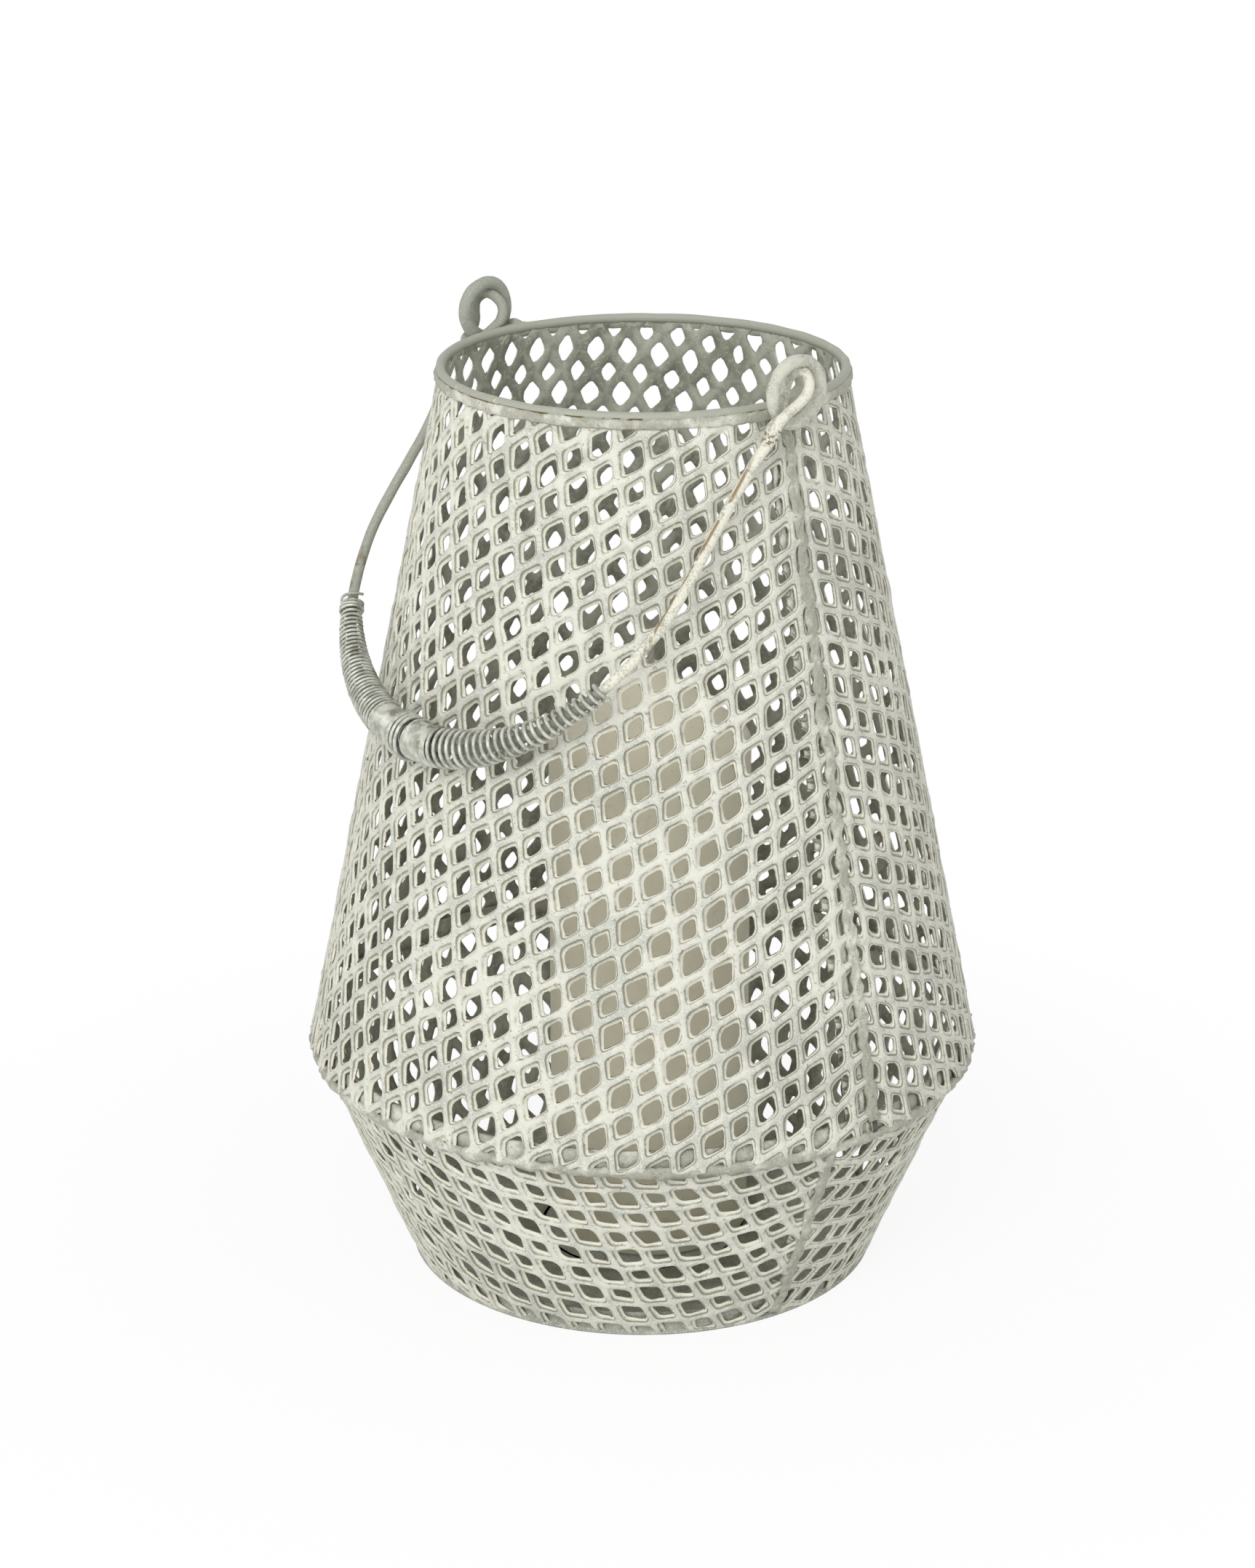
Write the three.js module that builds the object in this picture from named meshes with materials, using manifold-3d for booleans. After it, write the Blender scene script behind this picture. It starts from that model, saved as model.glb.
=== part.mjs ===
// A candle lantern of pierced sheet steel, open at the top. A tall cone widens from a wire-bound
// mouth down to a shoulder, and a shallower bowl narrows from there to the base. A wire bail with a
// wound grip hangs from two wire rings, and a pillar candle stands on the base plate.
//
// Millimetres, +Z up, origin in the middle of the underside. The bail swings about the line through
// the two rings, which lies along X a little to the -Y side of the middle, and at rest it leans on the
// cone towards -Y.

import * as THREE from 'three';
import { mergeVertices } from 'three/addons/utils/BufferGeometryUtils.js';
import Module from 'manifold-3d';

// Driving dimensions of the body
const baseRadius = 70;
const shoulderRadius = 100;
const shoulderHeight = 67;
const mouthRadius = 57.5;
const mouthHeight = 272;
const sheetThickness = 1.6;
const basePlateThickness = 1.2;
const flangeHeight = 5;
const rimWireDiameter = 3;

// Driving dimensions of the pierced pattern, a coarser count of the real sheet's holes
const columns = 24;
const upperRows = 7;
const bowlRows = 3;
const strandWidth = 5.6;
const smallHoleStrandWidth = 7.6;
const smallestHoleArea = 40;
const plainEdge = 6;
const rowClimb = 0.5;

// Driving dimensions of the rings that carry the bail
const ringWireDiameter = 3.6;
const ringRadius = 8.7;
const ringRise = 5.2;
const pivotForward = 3.4;
const brazeWidth = 5.6;
const brazeHeight = 5.6;

// Driving dimensions of the bail and its grip
const bailWireDiameter = 3;
const bailLegLength = 57.3;
const archDepth = 70;
const eyePlay = 0.65;
const eyeHalfWidth = 4.6;
const eyeCrownRise = 4.9;
const gripSweep = 113;
const gripTurns = 42;
const gripWireDiameter = 1.1;
const gripEndRadius = 2.7;
const gripMiddleRadius = 5.4;
const gripLeftTaper = 1.1;
const gripRightTaper = 2.2;
const windingFrom = -15.2;
const windingTo = 6.5;

// Driving dimensions of the candle and the seams
const candleRadius = 30;
const candleWallHeight = 158;
const candleConeHeight = 23;
const candleEdgeRounding = 2;
const candleOffset = new THREE.Vector2(-2.9, 5.6);
const wickDiameter = 2.2;
const wickStandsOut = 6;
const wickSetDepth = 8;
const seamBeadWidth = 4.4;
const seamBeadThickness = 1.1;
const seamBeadEndMargin = 6;

// Pieces that touch keep this gap
const gap = 0.3;

// Places and slopes that follow from the dimensions
const upperTopHeight = mouthHeight - rimWireDiameter / 2 - gap;
const upperSlope = Math.atan2(shoulderRadius - mouthRadius, mouthHeight - shoulderHeight);
const upperTopRadius = mouthRadius + sheetThickness / 2 / Math.cos(upperSlope);
const rimOuterRadius = mouthRadius + rimWireDiameter / 2;
const strandOffset = ringWireDiameter / 2 + eyePlay + bailWireDiameter / 2;
const ringOffset = rimOuterRadius + eyePlay + bailWireDiameter + eyePlay + ringWireDiameter / 2;
const pivotHeight = mouthHeight + ringRise;
const bailDepth = bailLegLength + archDepth;
const bailLean = leanAgainstCone();
const columnAngle = (2 * Math.PI) / columns;

const material = (color, roughness, metalness) =>
  new THREE.MeshStandardMaterial({ color, roughness, metalness });
const whitewash = material('#dcdbcd', 0.75, 0.1);
const agedWire = material('#a8a89c', 0.55, 0.6);
const springWire = material('#b4b6ae', 0.35, 0.9);
const brazeMetal = material('#c9c7b6', 0.7, 0.3);
const wax = material('#d8d0bb', 0.6, 0);
const wickCotton = material('#b9b7ae', 0.9, 0);

const lantern = new THREE.Group();

function add(name, geometry, finish) {
  const mesh = new THREE.Mesh(geometry, finish);
  mesh.name = name;
  lantern.add(mesh);
  return mesh;
}

// The angle from straight down at which the middle of the grip rests on the cone
function leanAgainstCone() {
  const coneRadius = mouthRadius + sheetThickness / 2 + (mouthHeight - pivotHeight) * Math.tan(upperSlope);
  const gripReach = gripMiddleRadius + gripWireDiameter / 2 + gap;
  const distance = (coneRadius - pivotForward) * Math.cos(upperSlope) + gripReach;
  return upperSlope + Math.asin(distance / bailDepth);
}

// Shared mesh helpers

// Triangles are gathered as corner points, and equal corners are merged into one closed mesh
function meshFromTriangles(corners) {
  const snap = (value) => Math.round(value * 1e4) / 1e4;
  const snapped = corners.map(({ x, y, z }) => new THREE.Vector3(snap(x), snap(y), snap(z)));
  return mergeVertices(new THREE.BufferGeometry().setFromPoints(snapped), 1e-5);
}

function quad(corners, a, b, c, d) {
  corners.push(a, b, c, a, c, d);
}

// Turns a closed list of triangles round if its faces point inwards
function facingOut(corners) {
  let volume = 0;
  for (let i = 0; i < corners.length; i += 3) {
    const [a, b, c] = corners.slice(i, i + 3);
    volume += a.dot(b.clone().cross(c));
  }
  return volume < 0 ? corners.reverse() : corners;
}

// Joins a list of rings of points into one skin, closed end to end or capped with flat ends
function loft(rings, endless = false) {
  const corners = [];
  const sides = rings[0].length;
  const spans = endless ? rings.length : rings.length - 1;
  for (let i = 0; i < spans; i += 1) {
    const near = rings[i];
    const far = rings[(i + 1) % rings.length];
    for (let j = 0; j < sides; j += 1) {
      const k = (j + 1) % sides;
      quad(corners, near[j], near[k], far[k], far[j]);
    }
  }
  if (!endless) {
    const first = rings[0];
    const last = rings[rings.length - 1];
    for (let j = 1; j < sides - 1; j += 1) {
      corners.push(first[0], first[j + 1], first[j], last[0], last[j], last[j + 1]);
    }
  }
  return meshFromTriangles(facingOut(corners));
}

// A ring of points round a centre, in the plane of two unit vectors
function ringAt(centre, u, v, radius, sides) {
  const points = [];
  for (let j = 0; j < sides; j += 1) {
    const angle = (2 * Math.PI * j) / sides;
    const point = centre.clone();
    point.addScaledVector(u, radius * Math.cos(angle));
    point.addScaledVector(v, radius * Math.sin(angle));
    points.push(point);
  }
  return points;
}

const wasm = await Module();
wasm.setup();

function solidOf(geometry) {
  const bare = geometry.clone();
  bare.deleteAttribute('normal');
  bare.deleteAttribute('uv');
  const merged = mergeVertices(bare, 1e-4);
  const mesh = new wasm.Mesh({
    numProp: 3,
    vertProperties: new Float32Array(merged.attributes.position.array),
    triVerts: new Uint32Array(merged.index.array),
  });
  return new wasm.Manifold(mesh);
}

function geometryOf(solid) {
  const mesh = solid.getMesh();
  const geometry = new THREE.BufferGeometry();
  geometry.setAttribute('position', new THREE.BufferAttribute(mesh.vertProperties, 3));
  geometry.setIndex(new THREE.BufferAttribute(mesh.triVerts, 1));
  return geometry;
}

// Pierced sheet: a cone of flat strips, each a trapezoid between two straight generators with a
// column of slanted four-sided holes. Holes alternate between large and small, and the rows climb
// from each column to the next, as the diagonal pattern of the real sheet does.

function conePoint(cone, column, down, wallShare) {
  const radius = THREE.MathUtils.lerp(cone.topRadius, cone.bottomRadius, down);
  const inset = (wallShare * sheetThickness) / Math.cos(cone.slope);
  const angle = column * columnAngle;
  const height = THREE.MathUtils.lerp(cone.topHeight, cone.bottomHeight, down);
  return new THREE.Vector3((radius - inset) * Math.cos(angle), (radius - inset) * Math.sin(angle), height);
}

// Places on a strip are a share across it and a share down it. In the flat they are millimetres.
function flatPoint(cone, [across, down]) {
  const width = THREE.MathUtils.lerp(cone.topRadius, cone.bottomRadius, down) * columnAngle;
  return new THREE.Vector2((across - 0.5) * width, -down * cone.length);
}

// The part of a hole that lies on the kept side of a level
function cutAtLevel(shape, level, side) {
  const kept = [];
  shape.forEach((point, k) => {
    const next = shape[(k + 1) % shape.length];
    const here = side * (point[1] - level);
    const there = side * (next[1] - level);
    if (here >= 0) kept.push(point);
    if (here * there < 0) {
      const share = here / (here - there);
      kept.push([THREE.MathUtils.lerp(point[0], next[0], share), level]);
    }
  });
  return kept;
}

function holesInStrip(cone, strip) {
  const edge = plainEdge / cone.length;
  const rowStep = (1 - 2 * edge) / cone.rows;
  const climb = rowStep * rowClimb;
  const holes = [];
  for (let row = 0; row <= cone.rows + 1; row += 1) {
    const isLarge = (row + strip) % 2 === 0;
    const strand = isLarge ? strandWidth : smallHoleStrandWidth;
    const top = edge + rowStep * (row - ((strip * rowClimb) % 1));
    const middle = top + (rowStep - climb) / 2;
    const width = THREE.MathUtils.lerp(cone.topRadius, cone.bottomRadius, middle) * columnAngle;
    const side = strand / 2 / width;
    const margin = strand / 2 / cone.length;
    const whole = [
      [side, top + margin - climb * side],
      [1 - side, top + margin - climb * (1 - side)],
      [1 - side, top + rowStep - margin - climb * (1 - side)],
      [side, top + rowStep - margin - climb * side],
    ];
    const hole = cutAtLevel(cutAtLevel(whole, edge, 1), 1 - edge, -1);
    const area = Math.abs(THREE.ShapeUtils.area(hole.map((point) => flatPoint(cone, point))));
    if (area > smallestHoleArea) holes.push(hole);
  }
  return holes;
}

function piercedShell(cone, topClosed = true) {
  const corners = [];
  const outline = [[0, 0], [0, 1], [1, 1], [1, 0]];
  for (let strip = 0; strip < columns; strip += 1) {
    const holes = strip === cone.plainStrip ? [] : holesInStrip(cone, strip);
    const flat = (point) => flatPoint(cone, point);
    const place = ([across, down], wallShare) => {
      const left = conePoint(cone, strip, down, wallShare);
      return left.lerp(conePoint(cone, strip + 1, down, wallShare), across);
    };
    const points = outline.concat(...holes);
    const faces = THREE.ShapeUtils.triangulateShape(outline.map(flat), holes.map((hole) => hole.map(flat)));
    for (const [a, b, c] of faces) {
      corners.push(place(points[a], 0), place(points[b], 0), place(points[c], 0));
      corners.push(place(points[a], 1), place(points[c], 1), place(points[b], 1));
    }
    for (const hole of holes) {
      for (let k = 0; k < hole.length; k += 1) {
        const from = hole[k];
        const to = hole[(k + 1) % hole.length];
        quad(corners, place(to, 0), place(from, 0), place(from, 1), place(to, 1));
      }
    }
    if (topClosed) {
      quad(corners, place([0, 0], 0), place([1, 0], 0), place([1, 0], 1), place([0, 0], 1));
    }
    quad(corners, place([1, 1], 0), place([0, 1], 0), place([0, 1], 1), place([1, 1], 1));
  }
  return corners;
}

// Upper body: the tall cone, from just under the rim wire to the shoulder

const upperCone = {
  topRadius: upperTopRadius,
  topHeight: upperTopHeight,
  bottomRadius: shoulderRadius,
  bottomHeight: shoulderHeight,
  slope: upperSlope,
  length: Math.hypot(shoulderRadius - upperTopRadius, upperTopHeight - shoulderHeight),
  rows: upperRows,
  outwardLift: 1,
};
add('upper_body', meshFromTriangles(piercedShell(upperCone)), whitewash);

// Lower bowl: the short cone under the shoulder, with a flange that tucks up inside the upper body

const tuckInset = (sheetThickness + gap) / Math.cos(upperSlope);
const bowlTopRadius = shoulderRadius - tuckInset;
const bowlTopHeight = shoulderHeight;
const bowlSlope = Math.atan2(bowlTopRadius - baseRadius, bowlTopHeight);
const seamStrip = columns - 1;
const bowlCone = {
  topRadius: bowlTopRadius,
  topHeight: bowlTopHeight,
  bottomRadius: baseRadius,
  bottomHeight: 0,
  slope: bowlSlope,
  length: Math.hypot(bowlTopRadius - baseRadius, bowlTopHeight),
  rows: bowlRows,
  plainStrip: seamStrip,
  outwardLift: -1,
};

// The flange is one more band of plain sheet above the bowl's top edge
function bowlWithFlange() {
  const corners = piercedShell(bowlCone, false);
  const inset = sheetThickness / Math.cos(bowlSlope);
  const flangeTopRadius = bowlTopRadius - flangeHeight * Math.tan(upperSlope);
  const top = bowlTopHeight + flangeHeight;
  const section = [
    [bowlTopRadius, bowlTopHeight],
    [flangeTopRadius, top],
    [flangeTopRadius - inset, top],
    [bowlTopRadius - inset, bowlTopHeight],
  ];
  const at = ([radius, height], column) => {
    const angle = column * columnAngle;
    return new THREE.Vector3(radius * Math.cos(angle), radius * Math.sin(angle), height);
  };
  for (let strip = 0; strip < columns; strip += 1) {
    for (let k = 0; k < section.length - 1; k += 1) {
      const low = section[k];
      const high = section[k + 1];
      quad(corners, at(low, strip), at(low, strip + 1), at(high, strip + 1), at(high, strip));
    }
  }
  return meshFromTriangles(corners);
}
add('lower_bowl', bowlWithFlange(), whitewash);

// Base plate: a flat disc let into the foot of the bowl, flush with its edge

const bowlInnerFlat = (baseRadius - sheetThickness / Math.cos(bowlSlope)) * Math.cos(columnAngle / 2);
const basePlateRadius = bowlInnerFlat - gap;
const basePlate = new THREE.CylinderGeometry(
  basePlateRadius,
  basePlateRadius,
  basePlateThickness,
  2 * columns,
);
basePlate.rotateX(Math.PI / 2);
basePlate.translate(0, 0, basePlateThickness / 2);
add('base_plate', basePlate, agedWire);

// Rim wire: brazed along the top edge of the cone

const rim = new THREE.TorusGeometry(mouthRadius, rimWireDiameter / 2, 8, 2 * columns);
rim.translate(0, 0, mouthHeight);
add('rim_wire', rim, agedWire);

// Ear rings and their braze: each ring stands just outside the rim, square to the bail's axis, and a
// lump of braze between ring and rim holds it

const ringTube = (extra) => {
  const geometry = new THREE.TorusGeometry(ringRadius, ringWireDiameter / 2 + extra, 8, 24);
  geometry.rotateY(Math.PI / 2);
  return geometry;
};

function brazeLump(side) {
  const inner = rimOuterRadius - rimWireDiameter / 2;
  const outer = ringOffset;
  const lump = new THREE.SphereGeometry(1, 12, 8);
  lump.scale((outer - inner) / 2, brazeWidth / 2, brazeHeight / 2);
  lump.translate(side * (outer + inner) / 2, -pivotForward, pivotHeight - ringRadius);
  const ring = ringTube(gap);
  ring.translate(side * ringOffset, -pivotForward, pivotHeight);
  const rimSpace = new THREE.TorusGeometry(mouthRadius, rimWireDiameter / 2 + gap, 8, 2 * columns);
  rimSpace.translate(0, 0, mouthHeight);
  const wallDrop = brazeHeight * 2;
  const wallReach = upperTopRadius + gap / Math.cos(upperSlope);
  const wallSpace = new THREE.CylinderGeometry(
    wallReach,
    wallReach + wallDrop * Math.tan(upperSlope),
    wallDrop,
    2 * columns,
  );
  wallSpace.rotateX(Math.PI / 2);
  wallSpace.translate(0, 0, upperTopHeight - wallDrop / 2);
  let solid = solidOf(lump);
  for (const space of [ring, rimSpace, wallSpace]) {
    solid = solid.subtract(solidOf(space));
  }
  const largest = solid.decompose().sort((a, b) => b.volume() - a.volume())[0];
  return geometryOf(largest);
}

for (const [name, side] of [['right', 1], ['left', -1]]) {
  const ring = ringTube(0);
  ring.translate(side * ringOffset, -pivotForward, pivotHeight);
  add(`${name}_ear_ring`, ring, agedWire);
  add(`${name}_ear_braze`, brazeLump(side), brazeMetal);
}

// Seam braze: a low bead of metal along each lap joint, where the rolled sheet meets itself

function seamBead(cone, column, from, to) {
  const rings = [];
  const angle = column * columnAngle;
  const outward = new THREE.Vector3(
    Math.cos(angle) * Math.cos(cone.slope),
    Math.sin(angle) * Math.cos(cone.slope),
    Math.sin(cone.slope) * cone.outwardLift,
  );
  const sideways = new THREE.Vector3(-Math.sin(angle), Math.cos(angle), 0);
  const half = seamBeadWidth / 2;
  const crown = half / 2;
  const section = [[-half, 0], [half, 0], [crown, seamBeadThickness], [-crown, seamBeadThickness]];
  for (const down of [from, to]) {
    const foot = conePoint(cone, Math.floor(column), down, 0);
    foot.lerp(conePoint(cone, Math.floor(column) + 1, down, 0), column - Math.floor(column));
    foot.addScaledVector(outward, gap);
    rings.push(section.map(([across, up]) => {
      const point = foot.clone().addScaledVector(sideways, across);
      return point.addScaledVector(outward, up);
    }));
  }
  return loft(rings);
}

const upperBeadTop = (ringRadius + brazeHeight) / upperCone.length;
const upperBeadFoot = 1 - seamBeadEndMargin / upperCone.length;
const bowlBeadTop = seamBeadEndMargin / bowlCone.length;
const bowlBeadFoot = 1 - seamBeadEndMargin / bowlCone.length;
add('upper_seam_braze', seamBead(upperCone, 0, upperBeadFoot, upperBeadTop), brazeMetal);
add('lower_seam_braze', seamBead(bowlCone, seamStrip + 0.5, bowlBeadFoot, bowlBeadTop), brazeMetal);

// Bail: one length of wire in one plane. Each end is bent into a long eye round its ring: up one
// side, over a crown just past the pivot line and down the other side, where its tail stops short of
// the leg. Both eyes curl the same way. Points are given across (along the axis) and down (away
// from it).

const bailDown = new THREE.Vector3(0, -Math.sin(bailLean), -Math.cos(bailLean));
const bailAcross = new THREE.Vector3(1, 0, 0);
const bailNormal = new THREE.Vector3().crossVectors(bailAcross, bailDown);
const bailPoint = (across, down) => {
  const point = new THREE.Vector3(0, -pivotForward, pivotHeight);
  point.addScaledVector(bailAcross, across);
  return point.addScaledVector(bailDown, down);
};
const archPoint = (turn) => [ringOffset * Math.sin(turn), bailLegLength + archDepth * Math.cos(turn)];

function halfBail(side) {
  const crown = eyeHalfWidth - eyeCrownRise;
  const below = (wires) => ringRadius + wires * bailWireDiameter;
  const eye = [
    [-strandOffset * 0.72, below(1.8)],
    [-strandOffset * 0.92, below(0.9)],
    [-strandOffset, below(0)],
  ];
  const crownSteps = 10;
  for (let i = 0; i <= crownSteps; i += 1) {
    const turn = (Math.PI * i) / crownSteps;
    eye.push([-eyeHalfWidth * Math.cos(turn), crown - eyeHalfWidth * Math.sin(turn)]);
  }
  eye.push([strandOffset, below(0)]);
  eye.push([strandOffset * 0.86, below(0.8)]);
  eye.push([strandOffset * 0.5, below(1.7)]);
  eye.push([strandOffset * 0.2, below(2.8)]);
  eye.push([0, below(4.6)]);
  const points = eye.map(([aside, down]) => [side * ringOffset + aside, down]);
  points.push([side * ringOffset, (below(4.6) + bailLegLength) / 2]);
  const archSteps = 12;
  for (let i = 0; i < archSteps; i += 1) {
    const turn = (1 - i / archSteps) * (Math.PI / 2);
    const [across, down] = archPoint(turn);
    points.push([side * across, down]);
  }
  return points;
}

const bailCourse = [...halfBail(1), [0, bailDepth], ...halfBail(-1).reverse()];
const bailRoute = bailCourse.map(([across, down]) => bailPoint(across, down));
console.log(`bail leans ${THREE.MathUtils.radToDeg(bailLean).toFixed(2)} degrees`);
const bailRings = bailRoute.map((point, i) => {
  const before = bailRoute[Math.max(i - 1, 0)];
  const after = bailRoute[Math.min(i + 1, bailRoute.length - 1)];
  const along = after.clone().sub(before).normalize();
  const inPlane = new THREE.Vector3().crossVectors(bailNormal, along);
  return ringAt(point, inPlane, bailNormal, bailWireDiameter / 2, 8);
});
add('bail_wire', loft(bailRings), agedWire);

// Grip: an open coil of wire, spindle-shaped and slimmer towards the right, threaded on the bail. Inside
// its middle lies a short core of close winding.

const gripHalfSweep = THREE.MathUtils.degToRad(gripSweep / 2);
function swell(share) {
  const taper = share < 0 ? gripLeftTaper : gripRightTaper;
  return Math.max(0, Math.cos((Math.PI / 2) * share)) ** taper;
}
const coilRadius = (share) => gripEndRadius + (gripMiddleRadius - gripEndRadius) * swell(share);

// The frame at a share of the grip's length, from -1 at one end through 0 in the middle to 1
function gripFrame(share) {
  const turn = share * gripHalfSweep;
  const outward = bailAcross.clone().multiplyScalar(archDepth * Math.sin(turn));
  outward.addScaledVector(bailDown, ringOffset * Math.cos(turn)).normalize();
  return { centre: bailPoint(...archPoint(turn)), outward };
}

const coilSteps = 8;
const coilSides = 5;
const coreSides = 12;
const coreFlat = Math.cos(Math.PI / coreSides);
const coilSag = Math.cos(Math.PI / coilSteps);
const coreClearance = gripWireDiameter / 2 + gap;
const boreRadius = bailWireDiameter / 2 + gap;
const coreRadius = (share) => coilRadius(share) * coilSag - coreClearance;

function gripCore() {
  const outer = [];
  const inner = [];
  const steps = 8;
  for (let i = 0; i <= steps; i += 1) {
    const share = THREE.MathUtils.lerp(windingFrom, windingTo, i / steps) / (gripSweep / 2);
    const { centre, outward } = gripFrame(share);
    outer.push(ringAt(centre, outward, bailNormal, coreRadius(share), coreSides));
    inner.push(ringAt(centre, outward, bailNormal, boreRadius / coreFlat, coreSides));
  }
  return loft([...outer, ...inner.reverse()], true);
}
add('grip_core', gripCore(), springWire);

function gripCoil() {
  const centres = [];
  const outwards = [];
  const count = gripTurns * coilSteps;
  for (let i = 0; i <= count; i += 1) {
    const share = 2 * (i / count) - 1;
    const { centre, outward } = gripFrame(share);
    const turn = (2 * Math.PI * i) / coilSteps;
    const radial = outward.multiplyScalar(Math.cos(turn)).addScaledVector(bailNormal, Math.sin(turn));
    outwards.push(radial);
    centres.push(centre.clone().addScaledVector(radial, coilRadius(share)));
  }
  const rings = centres.map((point, i) => {
    const before = centres[Math.max(i - 1, 0)];
    const after = centres[Math.min(i + 1, count)];
    const along = after.clone().sub(before).normalize();
    const side = new THREE.Vector3().crossVectors(along, outwards[i]).normalize();
    const up = new THREE.Vector3().crossVectors(side, along);
    return ringAt(point, up, side, gripWireDiameter / 2, coilSides);
  });
  let least = Infinity;
  for (let i = 0; i + coilSteps <= count; i += 1) {
    least = Math.min(least, centres[i].distanceTo(centres[i + coilSteps]));
  }
  console.log(`grip_coil: least gap to itself ${(least - gripWireDiameter).toFixed(2)} mm`);
  return loft(rings);
}
add('grip_coil', gripCoil(), springWire);

// Candle and wick: a plain pillar with a conical top, standing a little off the middle

const candleFoot = basePlateThickness + gap;
const candleShoulder = candleFoot + candleWallHeight;
const candleTip = candleShoulder + candleConeHeight;
const wickBore = wickDiameter / 2 + gap;
const candleProfile = [
  new THREE.Vector2(0, candleFoot),
  new THREE.Vector2(candleRadius, candleFoot),
  new THREE.Vector2(candleRadius, candleShoulder - candleEdgeRounding),
  new THREE.Vector2(candleRadius - candleEdgeRounding, candleShoulder + candleEdgeRounding),
  new THREE.Vector2(wickBore, candleTip),
  new THREE.Vector2(wickBore, candleTip - wickSetDepth),
  new THREE.Vector2(0, candleTip - wickSetDepth),
];
const candle = new THREE.LatheGeometry(candleProfile, 36);
candle.rotateX(Math.PI / 2);
candle.translate(candleOffset.x, candleOffset.y, 0);
add('candle', candle, wax);

const wickLength = wickStandsOut + wickSetDepth - gap;
const wick = new THREE.CylinderGeometry(wickDiameter / 2, wickDiameter / 2, wickLength, 10);
wick.rotateX(Math.PI / 2);
wick.translate(candleOffset.x, candleOffset.y, candleTip + wickStandsOut - wickLength / 2);
add('wick', wick, wickCotton);

export default lantern;
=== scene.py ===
# A candle lantern of pierced and embossed sheet steel, brushed with off-white paint that has worn.
# Metres, +Z up, the origin in the middle of the underside, as in the CAD frame. The bail's pivot
# line lies along X, and the lantern is seen with its -Y side and +X side towards the camera.

import math

import bmesh
import bpy
from mathutils import Matrix, Vector, noise


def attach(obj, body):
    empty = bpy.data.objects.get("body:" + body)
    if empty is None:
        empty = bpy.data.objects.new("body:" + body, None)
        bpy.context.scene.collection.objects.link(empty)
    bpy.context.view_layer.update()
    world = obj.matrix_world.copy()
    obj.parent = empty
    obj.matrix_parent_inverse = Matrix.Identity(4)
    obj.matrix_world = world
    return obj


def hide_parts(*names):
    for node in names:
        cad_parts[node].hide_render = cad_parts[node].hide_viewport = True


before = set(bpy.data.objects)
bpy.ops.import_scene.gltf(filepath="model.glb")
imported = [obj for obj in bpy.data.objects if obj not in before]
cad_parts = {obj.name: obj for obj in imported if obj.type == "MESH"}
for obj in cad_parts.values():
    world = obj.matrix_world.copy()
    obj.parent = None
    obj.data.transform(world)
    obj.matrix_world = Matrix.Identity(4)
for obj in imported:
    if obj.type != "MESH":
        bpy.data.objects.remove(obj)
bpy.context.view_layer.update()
MM = 0.001

# The photographer's camera: a long lens, a little above the mouth, looking down on the lantern.
# It is fitted to the outlines of the mouth, the shoulder and the base.

camera_azimuth = 47.5
camera_elevation = 23.936
camera_distance = 1154.45 * MM
camera_target_height = 68.3 * MM
camera_pitch = 20.356
camera_turn = 0.243
camera_lens = 5242.04 / 2156 * 36

lens = bpy.data.cameras.new("camera")
lens.lens = camera_lens
lens.sensor_width = 36
camera = bpy.data.objects.new("camera", lens)
bpy.context.collection.objects.link(camera)
reach = camera_distance * math.cos(math.radians(camera_elevation))
camera.location = (
    reach * math.sin(math.radians(camera_azimuth)),
    -reach * math.cos(math.radians(camera_azimuth)),
    camera_target_height + camera_distance * math.sin(math.radians(camera_elevation)),
)
camera.rotation_euler = (math.radians(90 - camera_pitch), 0, math.radians(camera_azimuth + camera_turn))
bpy.context.scene.camera = camera

# Upper body: one flat sheet of steel, pierced with large and small holes by turns and embossed
# with a smooth net of strands between them. It is rolled into a cone and closed by a lap seam
# below the right ear, where the outer end covers the inner one.

rim_level = 270.2
shoulder_level = 67.0
radius_at_rim = 58.32
radius_at_shoulder = 100.0
front_direction = -42.5
spokes = 12


def link(name, mesh):
    piece = bpy.data.objects.new(name, mesh)
    bpy.context.collection.objects.link(piece)
    return piece


def rounded(centre, half_size, rounding):
    """A rectangle with rounded corners, three points to a corner, in shares of a cell."""
    points = []
    for corner in range(4):
        diagonal = math.radians(90 * corner + 45)
        right, up = math.copysign(1, math.cos(diagonal)), math.copysign(1, math.sin(diagonal))
        for turn in (0, 45, 90):
            angle = math.radians(90 * corner + turn)
            points.append((
                centre[0] + right * (half_size[0] - rounding) + rounding * math.cos(angle),
                centre[1] + up * (half_size[1] - rounding) + rounding * math.sin(angle),
            ))
    return points


def crest(bulge):
    """The line along the middle of the strands round a cell, pushed out in the middle of each side."""
    points = []
    for x, y in rounded((0, 0), (0.5, 0.5), 0.27):
        if abs(abs(x) - abs(y)) < 0.1:
            points.append((math.copysign(0.5, x), math.copysign(0.5, y)))
        elif abs(x) > abs(y):
            points.append((math.copysign(bulge, x), y))
        else:
            points.append((x, math.copysign(bulge, y)))
    return points


def lies_at(item):
    """One number for where a corner, an edge or a face lies, along a line that is askew to all."""
    corners = [item] if isinstance(item, bmesh.types.BMVert) else item.verts
    reached = [0.917 * corner.co.x + 1.371 * corner.co.y + 0.553 * corner.co.z for corner in corners]
    return sum(sorted(reached)) / len(reached)


def put_in_order(shape):
    """Some operators hand back their elements in an order that changes from run to run."""
    for items in (shape.verts, shape.edges, shape.faces):
        items.sort(key=lies_at)
        items.index_update()


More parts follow.
